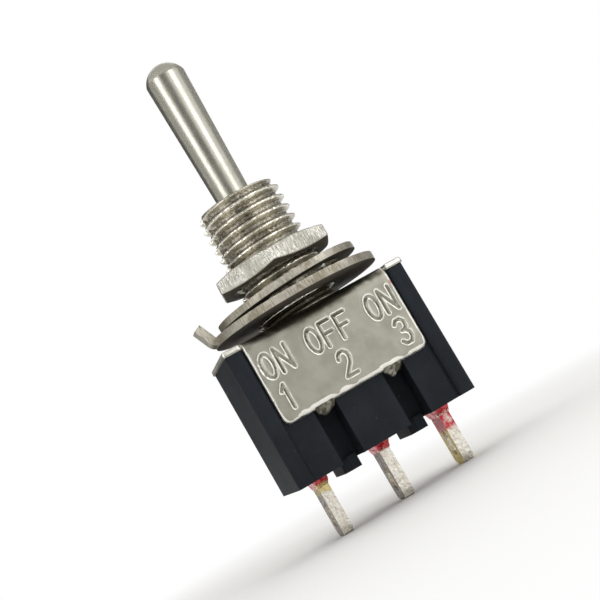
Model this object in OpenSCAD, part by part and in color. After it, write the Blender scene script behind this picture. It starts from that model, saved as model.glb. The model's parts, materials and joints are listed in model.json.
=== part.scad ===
// Miniature toggle switch: one pole, three positions (on - off - on), for panel mounting.
// The origin is on the axis of the threaded bushing, at the top face of the frame plate.
// +Z points along the lever, X runs along the row of terminals, and -Y is the front.

/* [Base] */
// Length of the base along the row of terminals
base_l = 13.2; // [12.6:0.1:16]
// Depth of the base over its end strips
base_w = 7.8; // [7.4:0.1:9.4]
// Height of the base without its feet
base_h = 9.4; // [9:0.1:11.4]
// How far each end strip stands proud of the long faces
strip_proud = 0.4; // [0.3:0.02:0.44]
// Width of each end strip along the base
strip_w = 1.15; // [0.9:0.05:1.4]
// Radius of the base's upright corners
corner_r = 0.3; // [0.1:0.05:0.38]
// Width of the upright channels in the long faces
channel_w = 1.6; // [1.2:0.1:1.8]
// Depth of the channels below the long faces
channel_d = 1.95; // [1.2:0.05:2.1]
// Thickness of the base's floor
floor_t = 1.2; // [1:0.1:1.5]
// Height that each foot stands below the base
foot_h = 0.65; // [0.4:0.05:1]
// Width of each foot along the row of terminals
foot_w = 1.15; // [0.9:0.05:1.4]
// Least wall of the base round its cavity
wall = 0.4; // [0.35:0.05:0.6]

/* [Frame] */
// Thickness of the frame's sheet steel
sheet_t = 0.4; // [0.3:0.05:0.5]
// How far the frame plate reaches past each end of the base
plate_over = 0.1; // [0:0.05:0.3]
// Length of the frame's flanges below the top of the base
flange_drop = 5.6; // [4.5:0.1:6.5]
// Inner radius of the frame's bends
bend_r = 0.4; // [0.3:0.05:0.6]
// Radius of the flanges' lower corners
flange_r = 0.5; // [0.2:0.05:0.8]
// Radius of the crimp tabs that are bent into the channels
crimp_r = 0.7; // [0.5:0.05:0.75]
// Angle that the crimp tabs are bent in by
crimp_a = 50; // [30:5:70]

/* [Bushing] */
// Outer diameter of the bushing's thread
thread_d = 6; // [5.8:0.1:7.2]
// Height of the bushing above the frame plate
bushing_h = 9; // [8.5:0.1:10.8]
// Pitch of the bushing's thread
thread_pitch = 0.75; // [0.5:0.05:0.8]
// Width of the keyway in the bushing
key_w = 1.05; // [0.8:0.05:1.4]
// Depth of the keyway
key_d = 0.45; // [0.3:0.05:0.5]
// Least wall between the lever's seat and the keyway or the thread's open valley
seat_wall = 0.25; // [0.1:0.05:0.35]
// Radial height of the chamfer at the bushing's mouth
mouth_chamfer = 0.2; // [0.1:0.05:0.3]
// Height of the lever's pivot above the frame plate
pivot_z = 4.6; // [4.4:0.1:5]
// Thickness of the rim that stakes the bushing under the frame plate
stake_t = 0.4; // [0.3:0.05:0.5]

/* [Nut and washers] */
// Size of the nut across its flats
nut_af = 8; // [7.8:0.1:9.6]
// Thickness of the nut
nut_t = 1.25; // [1.1:0.05:2]
// Height of the nut's lower face above the frame plate
nut_z = 3.35; // [3.3:0.05:3.6]
// Turn of the nut on the thread
nut_turn = 20; // [0:1:60]
// Angle of the chamfers on the nut's corners
nut_chamfer = 17; // [10:1:30]
// Outer diameter of the lock washer
lock_d = 10.6; // [9.6:0.1:11]
// Thickness of the lock washer
lock_t = 0.48; // [0.4:0.02:0.6]
// Height of the lock washer's middle above the frame plate
lock_z = 2.1; // [2.05:0.01:2.2]
// Angle at which the lock washer hangs in the thread
lock_tilt = 3.2; // [0:0.1:3.5]
// Number of teeth in the lock washer
lock_teeth = 10; // [6:1:12]
// Outer diameter of the locating washer
key_washer_d = 12.2; // [11.6:0.1:13]
// Thickness of the locating washer
key_washer_t = 0.55; // [0.45:0.05:0.6]
// Height of the locating washer's lower face above the frame plate
key_washer_z = 0.8; // [0.6:0.05:0.9]
// Width of the locating washer's bent tab
tab_w = 1.5; // [1:0.1:2]
// Height of the bent tab above the locating washer
tab_h = 1.25; // [0.8:0.05:1.6]
// Lean of the bent tab outwards
tab_lean = 24; // [0:1:30]

/* [Lever] */
// Height of the lever's tip above the frame plate
lever_h = 19.9; // [17:0.1:23.9]
// Diameter of the lever at its tip
lever_tip_d = 2.93; // [2.6:0.01:3.5]
// Diameter of the lever at the bushing's mouth
lever_neck_d = 2.44; // [2.1:0.01:2.5]
// Height of the lever's domed end
dome_h = 1.1; // [0.8:0.05:1.3]
// Diameter of the ball that the lever turns on
ball_d = 4.3; // [4.1:0.05:4.4]
// Tilt of the lever to each side
lever_tilt = 12.5; // [10:0.5:12.5]
// Diameter of the lever's tail
tail_d = 1.9; // [1.8:0.02:2]
// Diameter of the spring's bore in the tail
tail_bore_d = 1.4; // [1.3:0.02:1.5]
// Depth of the spring's bore
tail_bore_h = 4; // [3:0.1:4.5]

/* [Plunger and spring] */
// Radius of the plunger's round tip
tip_r = 0.6; // [0.5:0.02:0.7]
// Distance from the end of the lever's tail to the plunger's tip
plunger_out = 2.5; // [2.2:0.1:2.8]
// Travel of the plunger into the tail
plunger_travel = 0.4; // [0.3:0.05:0.5]
// Length of the plunger's stem in the bore
stem_h = 1.5; // [1.2:0.1:1.8]
// Diameter of the spring's wire
wire_d = 0.18; // [0.14:0.01:0.22]
// Number of turns in the spring
spring_turns = 6; // [4:1:8]

/* [Contacts] */
// Thickness of the rocker's strip
rocker_t = 0.35; // [0.3:0.01:0.4]
// Width of the rocker's strip
rocker_w = 1.8; // [1.5:0.1:2]
// Tilt of the rocker to each side
rocker_tilt = 7.5; // [6:0.5:8]
// Height of the rocker's pivot above the cavity's floor
fulcrum_h = 1.98; // [1.9:0.02:2.2]
// Distance from the rocker's pivot to each moving contact
contact_x = 4.1; // [4:0.05:4.2]
// Diameter of the moving contacts
moving_d = 1.2; // [1:0.05:1.3]
// Diameter of the fixed contacts
fixed_d = 1.24; // [1:0.02:1.3]
// Height of the fixed contacts above their terminals
fixed_h = 0.3; // [0.2:0.02:0.4]

/* [Terminals] */
// Distance between neighbouring terminals
pitch = 4.7; // [4.5:0.1:5]
// Thickness of the terminals' sheet
lug_t = 0.76; // [0.6:0.02:0.8]
// Width of the solder lugs
lug_w = 2; // [1.8:0.1:2.2]
// Length of the solder lugs below the base
lug_l = 4; // [3.4:0.1:4.8]
// Width of the hole in each lug
lug_hole_w = 1; // [0.8:0.05:1.2]
// Length of the hole in each lug
lug_hole_l = 1.7; // [1.4:0.1:2]
// Distance from the lug's end to its hole
lug_hole_end = 0.7; // [0.6:0.05:0.9]
// Height of the resin below the base at each lug
seal_h = 0.7; // [0.4:0.05:0.9]
// Depth of the resin in its well
seal_well = 0.4; // [0.2:0.05:0.6]
// Width of the resin round the lug's faces
seal_side = 0.22; // [0.15:0.01:0.3]
// Width of the resin past the lug's edges
seal_end = 0.8; // [0.6:0.05:0.9]

/* [Fits] */
// Radial clearance of pieces that turn or slide in each other
run_fit = 0.04; // [0.02:0.01:0.05]
// Gap at which two pieces rest on each other
touch_gap = 0.01; // [0:0.005:0.02]
// Gap between the frame's flanges and the base
frame_gap = 0.02; // [0:0.01:0.05]
// Gap between the flanges' ends and the end strips
strip_gap = 0.1; // [0.05:0.01:0.2]

/* [Hidden] */
$fn = 64;
eps = 0.01;
steel_color = [0.74, 0.72, 0.68];
nickel_color = [0.82, 0.80, 0.74];
resin_color = [0.72, 0.13, 0.14];
moulded_color = [0.20, 0.22, 0.25];
silver_color = [0.90, 0.89, 0.87];
brass_color = [0.80, 0.66, 0.36];

// Levels, from the top down
base_top = -sheet_t;
base_bottom = base_top - base_h;
cavity_floor = base_bottom + floor_t;
fulcrum_z = cavity_floor + fulcrum_h;

// Base: its long faces, channels and cavity
face_y = base_w / 2 - strip_proud;
channel_floor_y = face_y - channel_d;
channel_x = pitch / 2 + 0.2;
channel_cap = 0.9;
channel_top = base_top - channel_cap;
channel_fillet = 0.35;
neck_y = channel_floor_y - wall;
bay_y = face_y - channel_d / 2 - wall - 0.22;
fulcrum_bay_x = channel_x - channel_w / 2 - wall;
contact_bay_x = channel_x + channel_w / 2 + wall;
terminal_gap = 0.42;
cavity_x = pitch + lug_t / 2 + terminal_gap;
stake_clear = 0.15;
foot_y = channel_floor_y + 0.35;
foot_root = 0.3;
foot_bevel = foot_w * 0.45;

// Frame: its flanges lie on the long faces, between the end strips
flange_y = face_y + frame_gap;
flange_x = base_l / 2 - strip_w - strip_gap;
plate_x = base_l / 2 + plate_over;
plate_r = 0.2;
flange_z = base_top - flange_drop;
bend_y = flange_y - bend_r;
bend_out_r = bend_r + sheet_t;
crimp_lap = 0.12;

// Bushing: its seat follows the lever's ball, and the cuts from outside stop short of the seat
thread_r = thread_d / 2;
ball_r = ball_d / 2;
seat_r = ball_r + run_fit + 0.01;
neck_r = lever_neck_d / 2;
lever_clear = 0.12;
key_depth = min(key_d, thread_r - seat_r - seat_wall);
valley_w = thread_pitch * 7 / 8;
valley_d = min(thread_pitch * 0.6, thread_r - seat_r - seat_wall);
valley_z = nut_z + nut_t + 0.1 + valley_w / 2;

// Throat: the cone that the tilting lever sweeps, from where it meets the seat up to the mouth
sweep = tan(lever_tilt);
sweep_r = neck_r / cos(lever_tilt) + lever_clear;
sweep_k = 1 + sweep * sweep;
throat_root = sqrt(sweep_k * seat_r * seat_r - sweep_r * sweep_r);
throat_h = (throat_root - sweep * sweep_r) / sweep_k;
throat_r = sweep_r + throat_h * sweep;
mouth_h = bushing_h - pivot_z;
mouth_r = sweep_r + mouth_h * sweep;

// Foot of the bushing: its staked rim stays on the flat of the frame's plate
stake_proud = 0.1;
stake_lap = 0.35;
stake_gap = 0.02;
stake_r = min(thread_r + stake_proud, bend_y - stake_gap);
spigot_r = stake_r - stake_lap;
spigot_wall = 0.1;
stake_z = base_top - stake_t;
relief_w = 0.15;
relief_r = min(seat_r + relief_w, spigot_r - spigot_wall);

// Lever, plunger and rocker: the plunger's tip rests in the rocker's trough
saddle_in_r = lug_t / 2 + run_fit;
saddle_t = 0.3;
saddle_out_r = saddle_in_r + saddle_t;
trough_z = fulcrum_z + saddle_out_r;
tip_z = trough_z + touch_gap;
tail_z = tip_z + plunger_out;
tail_r = tail_d / 2;
stem_r = tail_bore_d / 2 - run_fit;
stem_z = tail_z + stem_h;
collar_z = tail_z - plunger_travel - 0.1;
cone_z = tip_z + 1.3;
lever_tip_r = lever_tip_d / 2;
dome_r = (lever_tip_r * lever_tip_r + dome_h * dome_h) / (2 * dome_h);
dome_z = lever_h - dome_h;
taper = (lever_tip_r - neck_r) / (dome_z - bushing_h);

// Spring: a round wire between the plunger's stem and the end of the tail's bore
wire_r = wire_d / 2;
spring_r = stem_r - wire_r;
spring_low = stem_z + wire_r;
spring_high = tail_z + tail_bore_h - wire_r;
spring_steps = 16 * spring_turns;
spring_sides = 8;

// Path of the tip's centre over the tilting rocker, seen from the rocker at full tilt
arm = pivot_z - tip_z - tip_r;
swing_x = arm * sin(lever_tilt);
swing_z = tip_z + tip_r - fulcrum_z + arm * (1 - cos(lever_tilt));
path_x = swing_x * cos(rocker_tilt) - swing_z * sin(rocker_tilt);
path_z = swing_x * sin(rocker_tilt) + swing_z * cos(rocker_tilt) - (tip_z + tip_r - fulcrum_z);
path_r = (path_x * path_x + path_z * path_z) / (2 * path_z);
trough_r = path_r + tip_r;
trough_x = path_x + tip_r * path_x / path_r + 0.2;
trough_d = trough_r - sqrt(trough_r * trough_r - trough_x * trough_x);
wing_z = trough_z + trough_d;
wing_low = wing_z - rocker_t;
rocker_x = contact_x + moving_d / 2 + 0.2;

// Contacts: the moving contact's dome just meets the fixed contact at full tilt
contact_dome_r = 2;
moving_h = 0.35;
moving_z = wing_low - moving_h;
dome_rise = moving_z + contact_dome_r - fulcrum_z;
fixed_x = contact_x * cos(rocker_tilt) + dome_rise * sin(rocker_tilt);
fixed_z = fulcrum_z - contact_x * sin(rocker_tilt) + dome_rise * cos(rocker_tilt)
    - contact_dome_r - touch_gap;
head_z = fixed_z - fixed_h;
shank_r = 0.3;

// Terminals
lug_z = base_bottom - lug_l;
lug_r = 0.55;
ear_gap = 0.25;
ear_w = 0.5;
ear_y = rocker_w / 2 + ear_gap + ear_w / 2;
ear_out_y = ear_y + ear_w / 2;
ear_root = fulcrum_z - 0.6;
yoke_z = cavity_floor + 0.3;
head_in_x = fixed_x - fixed_d / 2 - 0.1;
well_half = [lug_t / 2 + seal_side, lug_w / 2 + seal_end, 0];
seal_lip = 0.08;

// Nut and washers
nut_bore_r = thread_r + 0.02;
nut_face_r = nut_af / 2 - 0.1;
nut_flare_r = nut_face_r + nut_t / tan(nut_chamfer);
bore_chamfer = 0.3;
tooth_tip_r = thread_r + 0.04;
tooth_root_r = thread_r + 0.9;
tooth_twist = 16;
tooth_w = PI * thread_r / lock_teeth;
tongue_w = key_w - 0.1;
key_washer_r = key_washer_d / 2;
tab_bend_r = 0.25;
tab_root_x = 0.35 - key_washer_r;

// A block between two corners
module block(from, to) {
    translate(from) cube(to - from);
}

// A flat rectangle about the origin with round corners
module round_rect(size, r) {
    square([size.x - 2 * r, size.y], center = true);
    square([size.x, size.y - 2 * r], center = true);
    for (x = [-1, 1], y = [-1, 1])
        translate([x * (size.x / 2 - r), y * (size.y / 2 - r)]) circle(r);
}

// Extrudes a profile drawn in X and Z along Y, centred on the XZ plane
module extrude_y(w) {
    translate([0, w / 2, 0]) rotate([90, 0, 0]) linear_extrude(w) children();
}

// Extrudes a profile drawn in Y and Z along X, centred on the YZ plane
module extrude_x(w) {
    translate([-w / 2, 0, 0]) rotate([90, 0, 90]) linear_extrude(w) children();
}

// Outline of the base from above: long faces between two proud end strips
module base_outline() {
    round_rect([base_l, 2 * face_y], corner_r);
    for (s = [-1, 1])
        translate([s * (base_l - strip_w) / 2, 0]) round_rect([strip_w, base_w], corner_r);
}

// Outline of one channel, with its inner corners rounded
module channel_outline() {
    depth = channel_d + 1;
    translate([0, channel_floor_y + depth / 2]) round_rect([channel_w, depth], channel_fillet);
}

// Outline of one foot: a bar across the base with one bevelled corner at each end
module foot_outline() {
    difference() {
        square([foot_w, 2 * foot_y], center = true);
        for (t = [0, 180])
            rotate(t) translate([-foot_w / 2, -foot_y]) rotate(45)
                square(foot_bevel * sqrt(2), center = true);
    }
}

// Cuts the long top edges of the base, between its end strips, to clear the frame's bends
module bend_relief() {
    extrude_x(base_l - 2 * strip_w)
        for (s = [-1, 1])
            translate([s * bend_y, base_top - bend_r]) difference() {
                translate([s * bend_r, bend_r]) square(2 * bend_r, center = true);
                circle(bend_r);
            }
}

// The cavity is wide at the fulcrum and at the contacts, and narrow between the channels
module cavity() {
    top = base_top + 1;
    block([-cavity_x, -neck_y, cavity_floor], [cavity_x, neck_y, top]);
    block([-fulcrum_bay_x, -bay_y, cavity_floor], [fulcrum_bay_x, bay_y, top]);
    for (s = [0, 180])
        rotate(s) block([contact_bay_x, -bay_y, cavity_floor], [cavity_x, bay_y, top]);
}

// Cuts both channels of each long face: outside the foot only at the foot's root
module channels() {
    root_z = base_bottom + foot_root;
    for (s = [-1, 1], t = [0, 180])
        rotate(t) translate([s * channel_x, 0, 0]) {
            translate([0, 0, root_z]) linear_extrude(channel_top - root_z) channel_outline();
            translate([0, 0, base_bottom - eps]) linear_extrude(foot_root + 2 * eps) difference() {
                channel_outline();
                foot_outline();
            }
        }
}

// Moulded base, open at the top, with a slot and a resin well for each terminal
module base() {
    color(moulded_color)
    difference() {
        union() {
            translate([0, 0, base_bottom]) linear_extrude(base_h) base_outline();
            for (s = [-1, 1])
                translate([s * channel_x, 0, base_bottom - foot_h])
                    linear_extrude(foot_h + foot_root) foot_outline();
        }
        channels();
        bend_relief();
        cavity();
        translate([0, 0, stake_z - stake_clear]) cylinder(r = stake_r + stake_clear, h = stake_t + 1);
        for (i = [-1, 0, 1]) translate([i * pitch, 0, 0]) {
            block([-lug_t / 2, -lug_w / 2, base_bottom - eps], [lug_t / 2, lug_w / 2, cavity_floor + eps]);
            block(-well_half + [0, 0, base_bottom - 1], well_half + [0, 0, base_bottom + seal_well]);
        }
    }
}

// Profile of the frame across the base: the plate and its two bends and flanges
module frame_profile() {
    translate([-bend_y, -sheet_t]) square([2 * bend_y, sheet_t]);
    for (s = [-1, 1]) {
        intersection() {
            translate([s * bend_y, -bend_out_r]) difference() {
                circle(bend_out_r);
                circle(bend_r);
            }
            translate([s * (bend_y + bend_out_r / 2), -bend_out_r / 2]) square(bend_out_r, center = true);
        }
        translate([s * (flange_y + sheet_t / 2), (flange_z - bend_out_r) / 2])
            square([sheet_t, -bend_out_r - flange_z], center = true);
    }
}

// Outline of the frame's plate: an ear over each end strip, cut back where the flanges bend
module plate_outline() {
    difference() {
        round_rect([2 * plate_x, base_w], plate_r);
        for (s = [-1, 1])
            translate([0, s * (bend_y + 1)]) square([base_l - 2 * strip_w, 2], center = true);
    }
}

// Sheet steel frame: a plate over the base, two flanges and four crimp tabs
module frame() {
    blank_h = 1 - flange_z;
    color(steel_color)
    difference() {
        union() {
            intersection() {
                extrude_x(2 * flange_x) frame_profile();
                extrude_y(base_w + 4)
                    translate([0, flange_z + blank_h / 2]) round_rect([2 * flange_x, blank_h], flange_r);
            }
            translate([0, 0, -sheet_t]) linear_extrude(sheet_t) plate_outline();
            for (t = [0, 180], s = [-1, 1])
                rotate(t) translate([s * channel_x, flange_y + sheet_t, flange_z + crimp_lap])
                    rotate([-crimp_a, 0, 0]) crimp_tab();
        }
        translate([0, 0, -2 * sheet_t]) cylinder(r = spigot_r, h = 3 * sheet_t);
    }
}

// One crimp tab: a half disc that hangs from the flange's lower edge
module crimp_tab() {
    rotate([90, 0, 0]) intersection() {
        cylinder(r = crimp_r, h = sheet_t);
        block([-crimp_r, -crimp_r, 0], [crimp_r, 0, sheet_t]);
    }
}

// Threaded bushing: its thread is drawn as its outer diameter, with one open valley above the
// nut that parts the free end of the thread from the stretch under the nut and washers
module bushing() {
    color(nickel_color)
    difference() {
        union() {
            cylinder(r = thread_r, h = bushing_h - 2 * mouth_chamfer);
            translate([0, 0, bushing_h - 2 * mouth_chamfer])
                cylinder(r1 = thread_r, r2 = thread_r - mouth_chamfer, h = 2 * mouth_chamfer);
            translate([0, 0, -sheet_t]) cylinder(r = spigot_r, h = sheet_t + eps);
            translate([0, 0, stake_z]) cylinder(r = stake_r, h = stake_t);
        }
        rotate_extrude() polygon([
            [thread_r + eps, valley_z - valley_w / 2],
            [thread_r - valley_d, valley_z],
            [thread_r + eps, valley_z + valley_w / 2]
        ]);
        block([-thread_r - 1, -key_w / 2, 0], [-thread_r + key_depth, key_w / 2, bushing_h + 1]);
        translate([0, 0, pivot_z]) sphere(seat_r);
        translate([0, 0, stake_z - 1]) cylinder(r = seat_r, h = pivot_z - stake_z + 1);
        translate([0, 0, stake_z - 1]) cylinder(r = relief_r, h = 1 - stake_z);
        cylinder(r1 = relief_r, r2 = seat_r, h = relief_r - seat_r);
        translate([0, 0, pivot_z + throat_h])
            cylinder(r1 = throat_r, r2 = mouth_r, h = mouth_h - throat_h + eps);
    }
}

// Hexagon nut with both its faces chamfered at the corners
module hex_nut() {
    color(nickel_color)
    translate([0, 0, nut_z]) difference() {
        intersection() {
            rotate(nut_turn) cylinder(d = nut_af / cos(30), h = nut_t, $fn = 6);
            cylinder(r1 = nut_face_r, r2 = nut_flare_r, h = nut_t);
            cylinder(r1 = nut_flare_r, r2 = nut_face_r, h = nut_t);
        }
        translate([0, 0, -1]) cylinder(r = nut_bore_r, h = nut_t + 2);
        translate([0, 0, -eps]) cylinder(r1 = nut_bore_r + bore_chamfer, r2 = nut_bore_r, h = bore_chamfer);
        translate([0, 0, nut_t - bore_chamfer + eps])
            cylinder(r1 = nut_bore_r, r2 = nut_bore_r + bore_chamfer, h = bore_chamfer);
    }
}

// Lock washer with twisted inner teeth, hanging askew in the thread
module lock_washer() {
    tooth_l = tooth_root_r - tooth_tip_r + 0.1;
    color(steel_color)
    translate([0, 0, lock_z]) rotate([0, -lock_tilt, 0]) {
        difference() {
            cylinder(d = lock_d, h = lock_t, center = true);
            cylinder(r = tooth_root_r, h = lock_t + 1, center = true);
        }
        for (i = [0 : lock_teeth - 1])
            rotate((i + 0.5) * 360 / lock_teeth) translate([tooth_tip_r + tooth_l / 2, 0, 0])
                rotate([tooth_twist, 0, 0]) cube([tooth_l, tooth_w, lock_t * 0.7], center = true);
    }
}

// Locating washer: a tongue in the keyway and a tab bent up at its edge, on the same side
module locating_washer() {
    color(steel_color) {
        difference() {
            translate([0, 0, key_washer_z]) cylinder(r = key_washer_r, h = key_washer_t);
            translate([0, 0, key_washer_z - 1]) cylinder(r = thread_r, h = key_washer_t + 2);
        }
        translate([key_depth - thread_r - 1, -tongue_w / 2, key_washer_z]) cube([1, tongue_w, key_washer_t]);
        extrude_y(tab_w) tab_profile();
    }
}

// Side of the bent tab: a round bend at the washer's edge, then a leaning straight end
module tab_profile() {
    out_r = tab_bend_r + key_washer_t;
    rise = 90 - tab_lean;
    translate([tab_root_x, key_washer_z + out_r]) {
        intersection() {
            difference() {
                circle(out_r);
                circle(tab_bend_r);
            }
            polygon([[0, 0], [0, -2], [-2, -2], 2 * [-sin(rise), -cos(rise)]]);
        }
        rotate(-rise) translate([eps - tab_h, -out_r]) square([tab_h, key_washer_t]);
    }
    translate([tab_root_x - eps, key_washer_z]) square([1, key_washer_t]);
}

// Lever: a tapered bat with a domed end, the ball it turns on, and a tail bored for the spring
module toggle_lever() {
    color(nickel_color)
    difference() {
        union() {
            intersection() {
                translate([0, 0, pivot_z])
                    cylinder(
                        r1 = neck_r - taper * mouth_h,
                        r2 = lever_tip_r + taper * dome_h,
                        h = lever_h - pivot_z
                    );
                union() {
                    translate([0, 0, lever_h - dome_r]) sphere(dome_r);
                    translate([0, 0, pivot_z]) cylinder(d = ball_d, h = dome_z - pivot_z);
                }
            }
            translate([0, 0, pivot_z]) sphere(ball_r);
            translate([0, 0, tail_z]) cylinder(r = tail_r, h = pivot_z - tail_z);
        }
        translate([0, 0, tail_z - 1]) cylinder(r = tail_bore_d / 2, h = tail_bore_h + 1);
    }
}

// Plunger: a stem in the tail's bore, a collar, and the round tip that rides on the rocker
module plunger() {
    color("ivory") {
        translate([0, 0, collar_z - eps]) cylinder(r = stem_r, h = stem_z - collar_z + eps);
        translate([0, 0, cone_z]) cylinder(r = tail_r, h = collar_z - cone_z);
        translate([0, 0, tip_z + tip_r]) cylinder(r1 = tip_r, r2 = tail_r, h = cone_z - tip_z - tip_r);
        translate([0, 0, tip_z + tip_r]) sphere(tip_r);
    }
}

// Ring i of the spring's wire, which lies in the plane through the spring's axis
function wire_ring(i) =
    let (
        a = 360 * spring_turns * i / spring_steps,
        z = spring_low + (spring_high - spring_low) * i / spring_steps
    )
    [for (k = [0 : spring_sides - 1])
        let (b = 360 * k / spring_sides, r = spring_r + wire_r * cos(b))
        [r * cos(a), r * sin(a), z + wire_r * sin(b)]];

// Spring: a round wire swept along a helix, as one polyhedron
module plunger_spring() {
    n = spring_sides;
    rings = [for (i = [0 : spring_steps]) each wire_ring(i)];
    sides = [for (i = [0 : spring_steps - 1], k = [0 : n - 1])
        let (m = (k + 1) % n)
        [i * n + k, i * n + n + k, i * n + n + m, i * n + m]];
    start = [for (k = [0 : n - 1]) k];
    end = [for (k = [n - 1 : -1 : 0]) spring_steps * n + k];
    color(steel_color) polyhedron(rings, concat(sides, [start, end]), convexity = 10);
}

// Profile of the rocker's strip: a round trough for the plunger between two flat wings
module rocker_profile() {
    wing_l = rocker_x - trough_x + eps;
    intersection() {
        translate([0, trough_z + trough_r]) difference() {
            circle(trough_r + rocker_t, $fn = 256);
            circle(trough_r, $fn = 256);
        }
        translate([-trough_x, wing_z - 2]) square([2 * trough_x, 2]);
    }
    for (s = [-1, 1])
        translate([s * (rocker_x - wing_l / 2), wing_z - rocker_t / 2])
            square([wing_l, rocker_t], center = true);
}

// Profile of the half-round saddle that rides on the common terminal's ears
module saddle_profile() {
    translate([0, fulcrum_z]) intersection() {
        difference() {
            circle(saddle_out_r);
            circle(saddle_in_r);
        }
        translate([-1, 0]) square([2, 1]);
    }
}

// Rocker: the see-saw strip with a saddle at each side of its middle
module contact_rocker() {
    saddle_in_y = rocker_w / 2 - 0.25;
    saddle_out_y = ear_out_y + 0.05;
    color(brass_color)
    difference() {
        union() {
            extrude_y(rocker_w) rocker_profile();
            for (s = [-1, 1])
                translate([0, s * (saddle_in_y + saddle_out_y) / 2, 0])
                    extrude_y(saddle_out_y - saddle_in_y) saddle_profile();
        }
        for (s = [-1, 1])
            translate([s * contact_x, 0, wing_z - 1]) cylinder(r = shank_r, h = 2);
    }
}

// A moving contact, riveted through the rocker at its axis, with a domed face below
module moving_contact() {
    color(silver_color) {
        translate([0, 0, wing_low - eps]) cylinder(r = shank_r, h = rocker_t + eps);
        intersection() {
            translate([0, 0, moving_z]) cylinder(d = moving_d, h = moving_h);
            translate([0, 0, moving_z + contact_dome_r]) sphere(contact_dome_r);
        }
    }
}
module moving_contact_left() { translate([-contact_x, 0, 0]) moving_contact(); }
module moving_contact_right() { translate([contact_x, 0, 0]) moving_contact(); }

// A fixed contact: a flat silver rivet in the head of an end terminal
module fixed_contact() {
    color(silver_color) {
        translate([0, 0, head_z]) cylinder(d = fixed_d, h = fixed_h);
        translate([0, 0, head_z - lug_t]) cylinder(r = shank_r, h = lug_t + eps);
    }
}
module fixed_contact_left() { translate([-fixed_x, 0, 0]) fixed_contact(); }
module fixed_contact_right() { translate([fixed_x, 0, 0]) fixed_contact(); }

// Outline of a terminal's leg and lug from its side, up to the given height, with its hole
module lug_profile(top) {
    hole_r = lug_hole_w / 2;
    hole_z = lug_z + lug_hole_end;
    difference() {
        union() {
            translate([0, lug_z + lug_w / 2]) round_rect([lug_w, lug_w], lug_r);
            translate([-lug_w / 2, lug_z + lug_w / 2]) square([lug_w, top - lug_z - lug_w / 2]);
        }
        translate([0, hole_z + hole_r]) circle(hole_r);
        translate([0, hole_z + lug_hole_l - hole_r]) circle(hole_r);
        translate([-hole_r, hole_z + hole_r]) square([lug_hole_w, lug_hole_l - lug_hole_w]);
    }
}

// Common terminal: its two ears end in the round edges that the rocker's saddles turn on
module terminal_common() {
    color(silver_color) {
        extrude_x(lug_t) {
            lug_profile(ear_root);
            translate([-ear_out_y, yoke_z]) square([2 * ear_out_y, ear_root - yoke_z]);
            for (s = [-1, 1])
                translate([s * ear_y, (ear_root + fulcrum_z) / 2])
                    square([ear_w, fulcrum_z - ear_root + eps], center = true);
        }
        for (s = [-1, 1])
            translate([0, s * ear_y, fulcrum_z]) extrude_y(ear_w) circle(lug_t / 2);
    }
}

// An end terminal: its leg is bent over into the head that carries a fixed contact
module end_terminal() {
    color(silver_color)
    difference() {
        union() {
            translate([pitch, 0, 0]) extrude_x(lug_t) lug_profile(head_z - lug_t / 2);
            block([head_in_x, -lug_w / 2, head_z - lug_t], [pitch, lug_w / 2, head_z]);
            intersection() {
                translate([pitch - lug_t / 2, 0, head_z - lug_t])
                    extrude_y(lug_w) circle(lug_t);
                block([pitch - lug_t / 2, -lug_w, head_z - lug_t], [pitch + lug_t, lug_w, head_z]);
            }
        }
        translate([fixed_x, 0, head_z - 2]) cylinder(r = shank_r, h = 3);
    }
}
module terminal_left() { mirror([1, 0, 0]) end_terminal(); }
module terminal_right() { end_terminal(); }

// Resin seal round a lug: it fills the well in the base and tapers down the lug
module terminal_seal() {
    foot = [lug_t / 2 + seal_lip, lug_w / 2 + seal_lip];
    color(resin_color)
    difference() {
        union() {
            block(-well_half + [0, 0, base_bottom], well_half + [0, 0, base_bottom + seal_well]);
            polyhedron(
                [for (z = [0, 1], y = [-1, 1], x = [-1, 1])
                    [
                        x * (z ? well_half.x : foot.x),
                        y * (z ? well_half.y : foot.y),
                        base_bottom - (z ? 0 : seal_h)
                    ]],
                [[0, 1, 3, 2], [4, 6, 7, 5], [0, 4, 5, 1], [1, 5, 7, 3], [3, 7, 6, 2], [2, 6, 4, 0]]
            );
        }
        block([-lug_t / 2, -lug_w / 2, base_bottom - seal_h - 1], [lug_t / 2, lug_w / 2, base_bottom + 1]);
    }
}
module terminal_seal_left() { translate([-pitch, 0, 0]) terminal_seal(); }
module terminal_seal_center() { terminal_seal(); }
module terminal_seal_right() { translate([pitch, 0, 0]) terminal_seal(); }

toggle_lever();
bushing();
frame();
hex_nut();
lock_washer();
locating_washer();
base();
plunger();
plunger_spring();
contact_rocker();
moving_contact_left();
moving_contact_right();
fixed_contact_left();
fixed_contact_right();
terminal_common();
terminal_left();
terminal_right();
terminal_seal_left();
terminal_seal_center();
terminal_seal_right();
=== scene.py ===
import json
import math

import bpy
import numpy as np
from mathutils import Matrix, Vector, noise
from mathutils.geometry import delaunay_2d_cdt

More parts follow.
